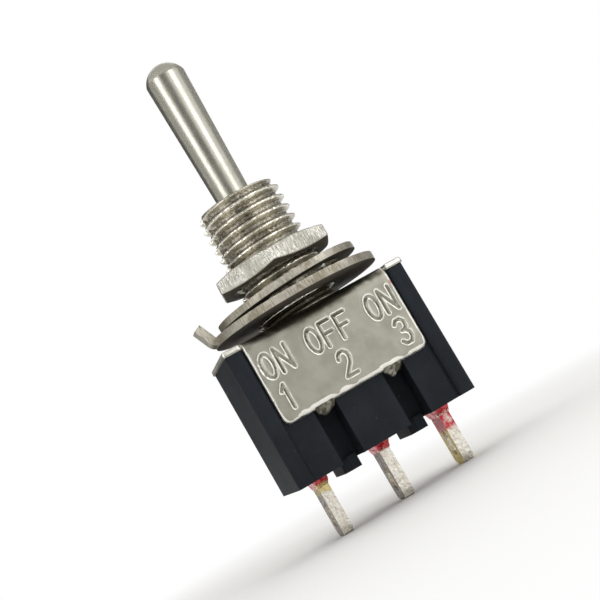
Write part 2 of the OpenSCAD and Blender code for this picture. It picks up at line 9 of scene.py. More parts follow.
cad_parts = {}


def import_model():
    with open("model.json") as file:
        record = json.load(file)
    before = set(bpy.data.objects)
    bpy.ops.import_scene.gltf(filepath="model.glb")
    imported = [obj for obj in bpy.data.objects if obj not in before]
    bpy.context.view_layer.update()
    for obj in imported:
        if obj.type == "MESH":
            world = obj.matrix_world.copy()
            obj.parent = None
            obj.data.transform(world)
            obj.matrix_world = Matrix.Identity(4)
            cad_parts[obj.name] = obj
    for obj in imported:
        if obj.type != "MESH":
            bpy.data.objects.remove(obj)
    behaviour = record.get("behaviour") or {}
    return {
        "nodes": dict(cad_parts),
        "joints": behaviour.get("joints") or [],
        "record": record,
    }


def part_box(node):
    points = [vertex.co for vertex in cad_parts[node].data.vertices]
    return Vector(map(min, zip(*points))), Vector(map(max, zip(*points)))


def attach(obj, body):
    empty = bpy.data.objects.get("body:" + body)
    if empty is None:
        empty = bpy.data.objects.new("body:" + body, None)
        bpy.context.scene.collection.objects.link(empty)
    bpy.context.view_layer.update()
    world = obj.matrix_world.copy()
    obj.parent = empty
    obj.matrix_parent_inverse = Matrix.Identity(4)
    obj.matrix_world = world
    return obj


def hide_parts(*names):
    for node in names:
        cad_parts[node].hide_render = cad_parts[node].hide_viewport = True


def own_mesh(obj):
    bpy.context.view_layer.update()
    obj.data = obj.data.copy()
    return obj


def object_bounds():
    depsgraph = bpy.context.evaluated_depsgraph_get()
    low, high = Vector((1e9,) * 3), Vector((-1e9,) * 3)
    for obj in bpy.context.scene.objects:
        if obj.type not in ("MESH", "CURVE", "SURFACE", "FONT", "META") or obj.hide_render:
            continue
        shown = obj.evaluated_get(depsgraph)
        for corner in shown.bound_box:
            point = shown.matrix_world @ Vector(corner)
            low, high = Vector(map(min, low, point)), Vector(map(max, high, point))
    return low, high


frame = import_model()
cad_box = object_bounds()

MM = 0.001

# The camera, by where it aims, how far off it stands and how it is turned
AIM = Vector((0.18, -0.85, 0.90)) * MM
CAMERA_DISTANCE = 78.6 * MM
CAMERA_AZIMUTH = -13.6
CAMERA_ELEVATION = -6.24
CAMERA_ROLL = 30.2
CAMERA_LENS = 71.1
SENSOR_WIDTH = 36.0


def joint(name):
    """The record's joint of that name."""
    return next(j for j in frame["joints"] if j["name"] == name)


def mount(name):
    """The record's mount of that name."""
    return next(m for m in frame["record"]["mounts"] if m["name"] == name)


def clamp(value):
    """value, or 0 or 1 where it lies beyond them."""
    return min(max(value, 0.0), 1.0)


def bell(value, middle, width):
    """1 at the middle, falling smoothly to 0 on both sides."""
    return math.exp(-(((value - middle) / width) ** 2))


# ---------------------------------------------------------------- materials


class Surface:
    """A material built from nodes, with coordinates in millimetres."""

    def __init__(self, name, **shader_values):
        self.material = bpy.data.materials.new(name)
        self.material.use_nodes = True
        self.tree = self.material.node_tree
        self.shader = self.tree.nodes["Principled BSDF"]
        for key, value in shader_values.items():
            self.put(self.shader.inputs[key.replace("_", " ")], value)
        coords = self.tree.nodes.new("ShaderNodeTexCoord")
        self.place = self.math("MULTIPLY", coords.outputs["Object"], (1000.0,) * 3, vector=True)

    def put(self, socket, value):
        """Sets a socket to a value, a colour or another node's output."""
        if isinstance(value, bpy.types.NodeSocket):
            self.tree.links.new(value, socket)
        elif isinstance(value, tuple) and socket.type == "RGBA":
            socket.default_value = (*value, 1)
        else:
            socket.default_value = value

    def node(self, kind, output=0, settings=None, **inputs):
        """Adds a node, sets its inputs by name, and gives one of its outputs."""
        made = self.tree.nodes.new(kind)
        for key, value in (settings or {}).items():
            setattr(made, key, value)
        for key, value in inputs.items():
            self.put(made.inputs[key.replace("_", " ")], value)
        return made.outputs[output]

    def math(self, operation, a, b=0.0, vector=False):
        """a and b combined by a math node."""
        made = self.tree.nodes.new("ShaderNodeVectorMath" if vector else "ShaderNodeMath")
        made.operation = operation
        self.put(made.inputs[0], a)
        self.put(made.inputs[1], b)
        return made.outputs[0]

    def noise(self, size, detail=3.0, stretch=(1, 1, 1), shift=0.0):
        """Noise from 0 to 1 whose blotches are about `size` mm, longer where stretch is over 1."""
        scale = tuple(1 / (size * s) for s in stretch)
        place = self.math("MULTIPLY", self.place, scale, vector=True)
        place = self.math("ADD", place, (shift, 2 * shift, 3 * shift), vector=True)
        return self.node("ShaderNodeTexNoise", Vector=place, Scale=1.0, Detail=detail)

    def ramp(self, value, low, high, out_low=0.0, out_high=1.0):
        """value spread from low..high onto out_low..out_high, smoothly and clamped."""
        made = self.tree.nodes.new("ShaderNodeMapRange")
        made.interpolation_type = "SMOOTHSTEP"
        numbers = (value, low, high, out_low, out_high)
        for socket, number in zip(made.inputs, numbers):
            self.put(socket, number)
        return made.outputs[0]

    def mix(self, share, a, b):
        """Colour a where share is 0 and b where it is 1."""
        made = self.tree.nodes.new("ShaderNodeMix")
        made.data_type = "RGBA"
        self.put(made.inputs[0], share)
        self.put(made.inputs[6], a)
        self.put(made.inputs[7], b)
        return made.outputs[2]

    def bump(self, height, depth):
        """Bump whose height runs from 0 to depth mm."""
        made = self.tree.nodes.new("ShaderNodeBump")
        made.inputs["Strength"].default_value = 1.0
        made.inputs["Distance"].default_value = depth * MM
        self.put(made.inputs["Height"], height)
        self.put(self.shader.inputs["Normal"], made.outputs[0])

    def distance_to(self, point, wobble, amount):
        """Distance in mm to a point, made uneven by a noise."""
        settings = {"operation": "DISTANCE"}
        away = self.node("ShaderNodeVectorMath", "Value", settings, Vector=self.place)
        away.node.inputs[1].default_value = point
        return self.math("ADD", away, self.math("MULTIPLY", wobble, amount))

    def wear_and_painted_light(self):
        """What the mesh's stored wear and painted light says at each point."""
        return self.node("ShaderNodeAttribute", "Fac", {"attribute_name": "wear_and_painted_light"})

    def axis(self, index):
        """X, Y or Z in millimetres."""
        return self.node("ShaderNodeSeparateXYZ", index, Vector=self.place)

    def towards(self, index):
        """How far the surface faces along X, Y or Z, from -1 to 1."""
        normal = self.node("ShaderNodeNewGeometry", "Normal")
        return self.node("ShaderNodeSeparateXYZ", index, Vector=normal)

    def colour(self, value):
        """Sets the base colour."""
        self.put(self.shader.inputs["Base Color"], value)

    def roughness(self, value):
        """Sets the roughness."""
        self.put(self.shader.inputs["Roughness"], value)


# Dark brown of painted shade, on undersides and in the thread's flanks and roots
PAINTED_SHADE = (0.10, 0.085, 0.06)
BRIGHT_PLATE = (0.90, 0.87, 0.78)


def nickel(name, light, dark, rough, marks, grain, depth, shade=None):
    """Plated metal: slight tarnish, fine marks along an axis and, given a shade colour, painted
    shade on its downward faces.
    """
    s = Surface(name, Metallic=1.0)
    tarnish = s.noise(1.6, 4.0)
    fine = s.noise(grain, 2.0, marks, shift=3.0)
    share = s.math("ADD", s.math("MULTIPLY", tarnish, 0.5), s.math("MULTIPLY", fine, 0.5))
    colour = s.mix(s.ramp(share, 0.40, 0.62), light, dark)
    rough_map = s.ramp(s.math("ADD", fine, tarnish), 0.7, 1.3, *rough)
    if shade:
        # Painted shade: faces that point down take the shade colour and turn rougher and less
        # metallic.
        underside_shade = s.ramp(s.math("ADD", s.towards(2), s.math("MULTIPLY", tarnish, 0.4)), -0.25, -0.65)
        colour = s.mix(underside_shade, colour, shade)
        rough_map = s.math("ADD", rough_map, s.math("MULTIPLY", underside_shade, 0.35))
        s.put(s.shader.inputs["Metallic"], s.ramp(underside_shade, 0.0, 1.0, 1.0, 0.25))
    s.colour(colour)
    s.roughness(rough_map)
    s.bump(fine, depth)
    return s.material


def lever_metal():
    """Satin nickel of the lever, with faint marks along it."""
    light, dark = (0.56, 0.55, 0.475), (0.49, 0.48, 0.41)
    return nickel("nickel_lever", light, dark, (0.25, 0.34), (1, 1, 3), 0.10, 0.0015)


def nut_metal():
    """Bright nickel of the nut, with coarse upright scratches and painted shade on its underside.
    """
    light, dark = (0.74, 0.72, 0.65), (0.42, 0.40, 0.34)
    return nickel("nickel_nut", light, dark, (0.24, 0.42), (1, 1, 9), 0.055, 0.05, PAINTED_SHADE)


def washer_metal():
    """Duller, browner plate of both washers, with upright shear marks round their rims and painted
    shade on their undersides.
    """
    light, dark = (0.55, 0.52, 0.44), (0.27, 0.24, 0.18)
    # Colour of the painted shade on the washers' undersides
    underside_shade = (0.08, 0.066, 0.05)
    return nickel("washer_steel", light, dark, (0.28, 0.48), (1, 1, 7), 0.06, 0.04, underside_shade)


def thread_metal():
    """Nickel of the bushing, mottled, with crests painted bright, partly rubbed metal and partly
    painted highlight, over flanks and roots painted dark as shade.
    """
    s = Surface("nickel_bushing", Metallic=1.0)
    wear_and_painted_light = s.wear_and_painted_light()
    mottle = s.noise(0.15, 3.0, (1.5, 1.5, 1), shift=3.0)
    cloud = s.noise(1.1, 3.0)
    share = s.math("ADD", wear_and_painted_light, s.math("MULTIPLY", s.math("SUBTRACT", mottle, 0.5), 1.1))
    share = s.math("ADD", share, s.math("MULTIPLY", s.math("SUBTRACT", cloud, 0.5), 0.5))
    # Painted shade: flanks, roots and the turn next to the plate darken towards the shade colour.
    flank = s.mix(s.ramp(share, -0.3, 0.3), PAINTED_SHADE, (0.56, 0.53, 0.445))
    # Pale crests: partly rubbed metal, partly painted highlight.
    s.colour(s.mix(s.ramp(share, 0.72, 1.05), flank, BRIGHT_PLATE))
    s.roughness(s.ramp(share, 0.2, 1.0, 0.38, 0.22))
    s.bump(mottle, 0.035)
    return s.material


def sheet_metal():
    """Dull nickel of the frame's sheet with a spot of resin, painted bright where its mesh holds
    painted highlights and dark where it holds painted shade.
    """
    s = Surface("nickel_steel", Metallic=1.0)
    cloud = s.noise(1.3, 4.0)
    fine = s.noise(0.12, 3.0, shift=2.0)
    wear_and_painted_light = s.wear_and_painted_light()
    # Painted highlight along the edges and the stamped rims.
    edge_highlight = s.ramp(s.math("ADD", wear_and_painted_light, s.math("MULTIPLY", fine, 0.35)), 0.45, 0.75)
    dull = s.mix(s.ramp(cloud, 0.3, 0.7), (0.395, 0.385, 0.325), (0.33, 0.32, 0.265))
    red = s.ramp(s.distance_to((5.25, -3.92, -1.25), s.noise(0.25, 2.0), 0.35), 0.36, 0.26)
    # Painted shade in the bends, round the washers and in the stamped grooves.
    dull = s.mix(s.ramp(wear_and_painted_light, -0.05, -0.6), dull, (0.14, 0.13, 0.10))
    dull = s.mix(edge_highlight, dull, (0.84, 0.82, 0.75))
    s.colour(s.mix(s.math("MULTIPLY", red, 0.55), dull, (0.40, 0.03, 0.03)))
    s.roughness(s.ramp(s.math("ADD", fine, cloud), 0.7, 1.3, 0.32, 0.48))
    s.bump(fine, 0.004)
    return s.material


def moulded_plastic():
    """Bluish black thermoset with a fine matt grain, small pits and a few pale specks of dust."""
    s = Surface("moulded_black", Specular_IOR_Level=0.12)
    cloud = s.noise(2.4, 4.0)
    grain = s.noise(0.06, 3.0, shift=5.0)
    pits = s.ramp(s.noise(0.22, 2.0, shift=13.0), 0.70, 0.76)
    dust = s.ramp(s.noise(0.15, 1.0, shift=9.0), 0.77, 0.81)
    dark = s.mix(s.ramp(cloud, 0.3, 0.7), (0.0150, 0.0180, 0.0228), (0.0212, 0.0252, 0.0318))
    s.colour(s.mix(s.math("MULTIPLY", dust, 0.8), dark, (0.07, 0.07, 0.068)))
    s.roughness(s.ramp(grain, 0.3, 0.7, 0.50, 0.64))
    s.bump(s.math("SUBTRACT", s.math("MULTIPLY", grain, 0.25), pits), 0.02)
    return s.material


def resin():
    """Glossy red sealing resin, with bare metal where its mesh is worn: brass on the left lug."""
    s = Surface("red_resin", Roughness=0.20, Specular_IOR_Level=0.2)
    cloud = s.noise(0.30, 3.0)
    grain = s.noise(0.18, 2.0, shift=4.0)
    uneven = s.math("MULTIPLY", s.math("SUBTRACT", grain, 0.5), 0.9)
    bare = s.ramp(s.math("ADD", s.wear_and_painted_light(), uneven), 0.42, 0.62)
    metal = s.mix(s.ramp(s.axis(0), -4.0, -4.2), (0.78, 0.66, 0.58), (0.66, 0.52, 0.24))
    red = s.mix(s.ramp(cloud, 0.42, 0.60), (0.80, 0.13, 0.145), (0.36, 0.010, 0.018))
    s.colour(s.mix(bare, red, metal))
    s.put(s.shader.inputs["Metallic"], s.ramp(bare, 0.0, 1.0, 0.55, 1.0))
    s.bump(grain, 0.02)
    return s.material


def lug_metal():
    """Mottled silver plate over brass, with bare brass on some faces, red smeared at the top, and
    painted shade on its flat sides.
    """
    s = Surface("terminal_plate", Metallic=1.0)
    grain = s.noise(0.16, 3.0)
    cloud = s.noise(0.5, 3.0, shift=7.0)
    x, z = s.axis(0), s.axis(2)
    # Painted shade: the flat sides, which face along X, are painted dark and less metallic.
    face = s.ramp(s.math("ABSOLUTE", s.towards(0)), 0.55, 0.85)
    silver = s.mix(s.ramp(grain, 0.32, 0.60), (0.66, 0.62, 0.53), BRIGHT_PLATE)
    silver = s.mix(s.ramp(cloud, 0.48, 0.64, 0.0, 0.35), silver, (0.70, 0.56, 0.48))
    dull = s.mix(s.ramp(cloud, 0.35, 0.65), (0.13, 0.095, 0.075), (0.26, 0.21, 0.17))
    silver = s.mix(face, silver, dull)
    height = s.math("ADD", z, cloud)
    right = s.math("MULTIPLY", s.ramp(x, 4.0, 4.2), face)
    brass = s.math("MULTIPLY", right, s.ramp(height, -10.4, -11.0))
    left = s.math("MULTIPLY", s.ramp(x, -4.0, -4.2), s.ramp(height, -10.45, -10.2))
    brass = s.math("MAXIMUM", brass, s.math("MULTIPLY", left, 0.7))
    colour = s.mix(brass, silver, (0.60, 0.47, 0.11))
    reach = s.ramp(x, 4.0, 4.2, -10.2, -11.35)
    ragged = s.math("ADD", z, s.math("MULTIPLY", grain, 0.9))
    smear = s.ramp(s.math("SUBTRACT", ragged, reach), 0.15, 0.75)
    smear = s.math("MULTIPLY", smear, s.ramp(cloud, 0.30, 0.55, 0.35, 1.0))
    s.colour(s.mix(smear, colour, (0.52, 0.035, 0.05)))
    s.put(s.shader.inputs["Metallic"], s.ramp(face, 0.0, 1.0, 1.0, 0.6))
    s.roughness(s.ramp(grain, 0.3, 0.7, 0.24, 0.40))
    dents = s.noise(0.32, 2.0, shift=11.0)
    s.bump(s.math("ADD", s.math("MULTIPLY", grain, 0.3), dents), 0.05)
    return s.material


def plain_metal(name, colour, rough):
    """Bright metal of the inner pieces, with faint drawn marks."""
    s = Surface(name, Metallic=1.0)
    marks = s.noise(0.05, 2.0, (1, 6, 1))
    s.colour(s.mix(s.ramp(marks, 0.3, 0.7, 0.0, 0.25), colour, (0.3, 0.26, 0.2)))
    s.roughness(s.ramp(marks, 0.3, 0.7, rough, rough + 0.12))
    s.bump(marks, 0.003)
    return s.material


def nylon():
    """Natural nylon of the plunger, slightly clouded."""
    depths = (0.6 * MM, 0.5 * MM, 0.3 * MM)
    s = Surface("nylon", Subsurface_Weight=0.2, Subsurface_Radius=depths)
    cloud = s.noise(0.7, 3.0)
    s.colour(s.mix(cloud, (0.80, 0.77, 0.66), (0.70, 0.66, 0.54)))
    s.roughness(s.ramp(cloud, 0.3, 0.7, 0.32, 0.45))
    s.bump(s.noise(0.1, 2.0, shift=2.0), 0.004)
    return s.material


MATERIALS = {
    "lever": lever_metal(),
    "bushing": thread_metal(),
    "nut": nut_metal(),
    "frame": sheet_metal(),
    "washer": washer_metal(),
    "base": moulded_plastic(),
    "resin": resin(),
    "lug": lug_metal(),
    "nylon": nylon(),
    "spring": plain_metal("spring_steel", (0.60, 0.60, 0.60), 0.25),
    "brass": plain_metal("contact_brass", (0.78, 0.62, 0.32), 0.28),
    "silver": plain_metal("contact_silver", (0.90, 0.88, 0.85), 0.22),
}
NODE_MATERIALS = {
    "toggle_lever": "lever",
    "bushing": "bushing",
    "hex_nut": "nut",
    "frame": "frame",
    "lock_washer": "washer",
    "locating_washer": "washer",
    "base": "base",
    "plunger": "nylon",
    "plunger_spring": "spring",
    "contact_rocker": "brass",
    "moving_contact_left": "silver",
    "moving_contact_right": "silver",
    "fixed_contact_left": "silver",
    "fixed_contact_right": "silver",
    "terminal_common": "lug",
    "terminal_left": "lug",
    "terminal_right": "lug",
    "terminal_seal_left": "resin",
    "terminal_seal_center": "resin",
    "terminal_seal_right": "resin",
}

# Width in mm of the rounding on a CAD node's sharp edges
ROUNDING = {
    "hex_nut": 0.16,
    "lock_washer": 0.02,
    "locating_washer": 0.12,
    "base": 0.06,
    "terminal_common": 0.24,
    "terminal_left": 0.24,
    "terminal_right": 0.24,
}


def paint(piece, key):
    """Gives a piece one of the materials."""
    piece.data.materials.clear()
    piece.data.materials.append(MATERIALS[key])


# ---------------------------------------------------------------- pieces


def linked(name, data):
    """A new object in the scene."""
    made = bpy.data.objects.new(name, data)
    bpy.context.scene.collection.objects.link(made)
    return made


def mesh_piece(name, points, faces, body, key, replaced):
    """A new mesh piece that rides on a body and stands for the replaced CAD nodes."""
    mesh = bpy.data.meshes.new(name)
    mesh.from_pydata(points, [], faces)
    mesh.validate()
    mesh.shade_smooth()
    piece = linked(name, mesh)
    paint(piece, key)
    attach(piece, body)
    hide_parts(*replaced)
    return piece


def set_wear_and_painted_light(piece, values):
    """Stores how much each point's colour is lightened, from 0 to 1, for rubbed or bare metal and
    for painted highlights, or darkened below 0 for painted shade.
    """
    layer = piece.data.attributes.new("wear_and_painted_light", "FLOAT", "POINT")
    layer.data.foreach_set("value", values)


def ring_faces(rings, count, wrap=False, flip=False):
    """Quads that join each ring of points to the next, and the last to the first if they wrap."""
    faces = []
    for i in range(rings if wrap else rings - 1):
        j = (i + 1) % rings
        for k in range(count):
            m = (k + 1) % count
            a, b, c, d = i * count + k, i * count + m, j * count + m, j * count + k
            faces.append((a, d, c, b) if flip else (a, b, c, d))
    return faces


def end_caps(rings, count):
    """The flat faces that close a tube of rings at both ends."""
    last = (rings - 1) * count
    return [tuple(range(count)), tuple(reversed(range(last, last + count)))]


def round_node_edges(node, width):
    """Rounds a CAD node's sharp edges by modifiers, after welding the seams of its mesh."""
    piece = frame["nodes"][node]
    weld = piece.modifiers.new("weld", "WELD")
    weld.merge_threshold = 0.0005 * MM
    bevel = piece.modifiers.new("bevel", "BEVEL")
    bevel.width = width * MM
    bevel.segments = 4
    bevel.limit_method = "ANGLE"
    bevel.angle_limit = math.radians(30)
    bevel.loop_slide = False


# ---------------------------------------------------------------- bushing

THREAD_PITCH = 0.75 * MM
THREAD_DEPTH = 0.43 * MM
# The thread's turn at the front, and its flats, as shares of the pitch
THREAD_START = 0.2
CREST_FLAT = 0.125
ROOT_FLAT = 0.25
# Rows of the thread's mesh in one turn, as shares of the pitch from one root to the next
THREAD_ROWS = (
    0.0, 0.06, 0.11, 0.14, 0.20, 0.27, 0.34, 0.40, 0.43, 0.46,
    0.5, 0.54, 0.57, 0.60, 0.66, 0.73, 0.80, 0.86, 0.89, 0.94,
)
THREAD_COLUMNS = 256
LEAST_ROW = 0.01 * MM
# Depth in mm of the nicks in the crests and of the torn grain all over the thread
NICK_DEPTH = 0.14
NICK_ABOVE = 0.12
TEAR_DEPTH = 0.016
MOUTH_FADE = 0.1 * MM
MOUTH_CHAMFER = 0.2 * MM
KEYWAY_WIDTH = 1.05 * MM
KEYWAY_DEPTH = 0.45 * MM
KEYWAY_COLUMNS = 6
KEYWAY_ROUND = 0.05 * MM
KEYWAY_RUB = 0.2 * MM
SPIGOT_SHARE = 0.917
SEAT_CLEAR = 0.05 * MM
SEAT_ROWS = 10
LEVER_NECK = 1.22 * MM
LEVER_CLEAR = 0.12 * MM


def thread_radius(z, angle, outer, top):
    """Radius of the surface at a height and angle: a right-hand thread with nicked crests."""
    phase = (z / THREAD_PITCH - angle / math.tau + THREAD_START) % 1.0
    slope = abs(2 * phase - 1)
    cut = clamp((slope - CREST_FLAT) / (1 - ROOT_FLAT - CREST_FLAT))
    groove = 0.7 * cut + 0.3 * cut * cut * (3 - 2 * cut)
    chamfer = max(0.0, z - (top - 2 * MOUTH_CHAMFER)) / 2
    place = Vector((math.cos(angle) * outer, math.sin(angle) * outer, z)) / MM
    hit = noise.noise(Vector((place.x * 5, place.y * 5, place.z * 6)))
    nick = max(0.0, hit - NICK_ABOVE) * NICK_DEPTH * MM
    tear = noise.noise(Vector((place.x * 8 + 5, place.y * 8, place.z * 12))) * TEAR_DEPTH * MM
    worn = (nick * (1 - groove) - tear) * clamp((top - z) / MOUTH_FADE)
    return min(outer - THREAD_DEPTH * groove - worn, outer - chamfer)


def thread_angles(outer):
    """Angles of the mesh's columns round the thread, from one edge of the keyway to the other."""
    half = math.asin(KEYWAY_WIDTH / 2 / outer)
    sweep = math.tau - 2 * half
    return [-math.pi + half + sweep * i / THREAD_COLUMNS for i in range(THREAD_COLUMNS + 1)]


def thread_levels(top):
    """Heights of the mesh's rows up the thread."""
    turns = range(int(top / THREAD_PITCH) + 1)
    levels = [THREAD_PITCH * (turn + part) for turn in turns for part in THREAD_ROWS]
    return [z for z in levels if z < top - LEAST_ROW] + [top]


def thread_ring(level, angles, outer, top):
    """One row of points, which follows the helix round the thread and then crosses the keyway."""
    ring = []
    climb = THREAD_PITCH * min(1.0, min(level, top - level) / THREAD_PITCH)
    for step, angle in enumerate(angles):
        z = level + climb * (angle / math.tau - THREAD_START)
        r = thread_radius(z, angle, outer, top)
        from_key = min(step, THREAD_COLUMNS - step)
        r -= KEYWAY_ROUND * max(0.0, 1 - from_key / 2) ** 2
        x, y = r * math.cos(angle), r * math.sin(angle)
        if from_key == 0:
            y = math.copysign(KEYWAY_WIDTH / 2, angle)
            x = -math.sqrt(r * r - y * y)
        ring.append((x, y, z))
    floor_x = outer - KEYWAY_DEPTH
    for i in range(KEYWAY_COLUMNS + 1):
        y = KEYWAY_WIDTH * (0.5 - i / KEYWAY_COLUMNS)
        turn = angles[-1] / math.tau * (1 - 2 * i / KEYWAY_COLUMNS)
        z = level + climb * (turn - THREAD_START)
        r = thread_radius(z, math.atan2(y, -floor_x), outer, top)
        ring.append((-min(floor_x, math.sqrt(r * r - y * y)), y, z))
    return ring


def bore_profile(low, top):
    """Radius and height down the bushing's inside: the mouth, the throat and the ball's seat."""
    pivot = joint("lever_tilt")["pos_m"][2]
    tilt = math.radians(joint("lever_tilt")["range_deg"][1])
    seat = pivot_seat_radius()
    sweep = math.tan(tilt)
    reach = LEVER_NECK / math.cos(tilt) + LEVER_CLEAR
    steep = 1 + sweep * sweep
    throat_h = (math.sqrt(steep * seat * seat - reach * reach) - sweep * reach) / steep
    profile = [(reach + (top - pivot) * sweep, top), (reach + throat_h * sweep, pivot + throat_h)]
    for i in range(1, SEAT_ROWS + 1):
        a = math.asin(throat_h / seat) * (1 - i / SEAT_ROWS)
        profile.append((seat * math.cos(a), pivot + seat * math.sin(a)))
    return profile + [(seat, 0.0), (seat, low)]


def bushing_piece():
    """The bushing with its true thread and keyway, and the bore and seat that it has in the CAD."""
    low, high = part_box("bushing")
    outer = mount("bushing_thread")["dims"]["r_mm"] * MM
    top = high.z
    angles = thread_angles(outer)
    rings = [thread_ring(level, angles, outer, top) for level in thread_levels(top)]
    spigot, stake = outer * SPIGOT_SHARE, low.z / 2
    foot = [(high.x, low.z), (high.x, stake), (spigot, stake), (spigot, 0.0)]
    last = rings[-1]
    rings += [round_ring(last, r, z) for r, z in bore_profile(low.z, top) + foot]
    points = [p for ring in rings for p in ring]
    faces = ring_faces(len(rings), len(last), wrap=True)
    piece = mesh_piece("bushing_thread", points, faces, "housing", "bushing", ["bushing"])
    set_wear_and_painted_light(piece, [thread_wear_and_painted_light(p, outer) for p in points])


def thread_wear_and_painted_light(point, outer):
    """Wear and painted light at a point: bright crests and keyway edges, partly rubbed metal and
    partly painted highlight, and painted shade in the roots and next to the plate.
    """
    x, y, z = point
    crest_share = clamp((math.hypot(x, y) - (outer - THREAD_DEPTH)) / THREAD_DEPTH)
    # Painted shade on the lowest turn, next to the plate.
    plate_shade = max(0.0, 1 - z / THREAD_PITCH)
    at_key = max(0.0, 1 - abs(abs(y) - KEYWAY_WIDTH / 2) / KEYWAY_RUB) if x < 0 else 0.0
    return crest_share - 0.9 * plate_shade + 0.5 * at_key * crest_share


def round_ring(like, r, z):
    """A round ring whose points lie at the same angles as those of another ring."""
    angles = [math.atan2(y, x) for x, y, _ in like]
    return [(r * math.cos(a), r * math.sin(a), z) for a in angles]


def pivot_seat_radius():
    """Radius of the seat in the bushing: the lever's ball and its running clearance."""
    low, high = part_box("toggle_lever")
    return (high.x - low.x) / 2 + SEAT_CLEAR


# ---------------------------------------------------------------- frame sheet, in millimetres

SHEET = 0.4
BEND_IN = 0.4
BEND_OUT = BEND_IN + SHEET
BEND_PATH = BEND_OUT * math.pi / 2
FLANGE_END = -6.0
FLANGE_HALF = 5.35
FLANGE_ROUND = 0.5
SLOT_END = 5.45
EAR_HALF = 3.9
EAR_ROUND = 0.2
HOLE_RADIUS = 2.75
FRAME_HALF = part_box("frame")[1].x / MM
FLANGE_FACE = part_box("frame")[1].y / MM
# The way across the unfolded sheet from its middle: to a bend's start and end, and to its tip
BEND_AT = FLANGE_FACE - BEND_OUT
BEND_END = BEND_AT + BEND_PATH
TIP = BEND_END + (-BEND_OUT - FLANGE_END)

# The sheet's mesh: points along its edges and in rows beside them, and a coarse and a fine grid
EDGE_STEP = 0.15
EDGE_INSETS = (0.03, 0.08, 0.15, 0.24, 0.35)
HOLE_STEPS = 72
COARSE_STEPS = (0.35, 0.314)
# How far the coarse grid keeps from the edges, the hole and the fine grid
EDGE_CLEAR = 0.45
HOLE_CLEAR = 0.1
FINE_CLEAR = 0.1
# The fine grid's half width, how far it keeps from the tip and the bend, and its points
FINE_HALF = 4.88
FINE_MARGINS = (0.45, 0.25)
FINE_GRID = (182, 84)
# Distance under which points become one
MERGE = 1e-5
# What is left out: a row's point or a face's middle within these shares of its inset or the hole
ROW_CLEAR = 0.93
HOLE_CUT = 0.9995

# Its relief: rolled edges, dents, and the stamping with the rim that it raises
EDGE_ROLL = 0.14
LOW_BAND = 0.7
DENTS = 0.012
RIPPLE = 0.004
STAMP_DEPTH = 0.09
STAMP_SLOPE = 0.12
STAMP_REACH = 0.4
STAMP_RIM = 0.018
STAMP_RIM_AT = 0.16
STAMP_RIM_WIDTH = 0.045
# Distance from the strokes that stands for any point off the front flange
UNSTAMPED = 9.0

# Its painted light: painted highlights in bands along its edges, and painted shade in the bends and
# round the washers
BRIGHT_BAND = 0.17
BRIGHT_FADE = 0.14
BEND_SHADE_UP = 0.55
BEND_SHADE_REACH = 0.75
WASHER_SHADE = 3.6
WASHER_SHADE_FADE = 1.6

# Its crimp tabs: their place, size and lean, how they lap the flange, and their rough faces
TAB_PLACE = 2.55
TAB_RADIUS = 0.74
TAB_DROP = 1.35
TAB_ANGLE = math.radians(40)
TAB_LAP = 0.12
TAB_LIP = 0.08
TAB_ROUGH = 0.07
TAB_ROWS = 6
TAB_STEPS = 24

# Strokes of the stamped characters, in a box one wide and one high
ROUND = [(0.5 + 0.5 * math.sin(a), 0.5 + 0.5 * math.cos(a)) for a in np.linspace(0, math.tau, 21)]
GLYPHS = {
    "O": [ROUND],
    "N": [[(0, 0), (0, 1), (1, 0), (1, 1)]],
    "F": [[(0, 0), (0, 1), (0.95, 1)], [(0, 0.52), (0.8, 0.52)]],
    "1": [[(0.2, 0.76), (0.55, 1), (0.55, 0)]],
    "2": [[
        (0.02, 0.74), (0.12, 0.91), (0.34, 1), (0.66, 1), (0.9, 0.88), (0.96, 0.7), (0.84, 0.5),
        (0, 0), (1, 0),
    ]],
    "3": [[
        (0.04, 0.86), (0.26, 1), (0.66, 1), (0.9, 0.86), (0.88, 0.64), (0.66, 0.54), (0.4, 0.53),
        (0.7, 0.5), (0.95, 0.36), (0.95, 0.16), (0.72, 0), (0.28, 0), (0.02, 0.14),
    ]],
}
# Each row's characters, the height of its foot, and the advance from one character to the next
STAMPED_ROWS = (("ON OFF ON", -2.95, 1.12), ("1  2  3", -5.2, 1.44))
GLYPH_WIDE, GLYPH_HIGH = 0.78, 1.62


def wander(x, y, size, seed):
    """Smooth noise from -1 to 1 at a place in millimetres."""
    return noise.noise(Vector((x / size, y / size, seed)))


def stamped_strokes():
    """Both ends of every stroke stamped in the front flange, in X and Z."""
    ends = []
    for text, low, advance in STAMPED_ROWS:
        start = -advance * (len(text) - 1) / 2
        for i, letter in enumerate(text):
            middle = start + i * advance
            for line in GLYPHS.get(letter, []):
                place = [(middle + (x - 0.5) * GLYPH_WIDE, low + z * GLYPH_HIGH) for x, z in line]
                ends += [a + b for a, b in zip(place, place[1:])]
    return np.array(ends)


def distance_to_segments(points, segments):
    """Distance from each 2-D point to the nearest of the segments."""
    a, b = segments[:, :2], segments[:, 2:]
    span = b - a
    length = np.maximum((span**2).sum(axis=1), 1e-12)
    best = np.full(len(points), 1e9)
    for k in range(len(segments)):
        rel = points - a[k]
        along = np.clip((rel @ span[k]) / length[k], 0, 1)
        off = rel - along[:, None] * span[k]
        best = np.minimum(best, (off**2).sum(axis=1))
    return np.sqrt(best)


def arc(cx, cy, r, start, end, steps):
    """Points on an arc; the angles are in degrees."""
    return [
        (cx + r * math.cos(a), cy + r * math.sin(a))
        for a in np.radians(np.linspace(start, end, steps + 1))
    ]


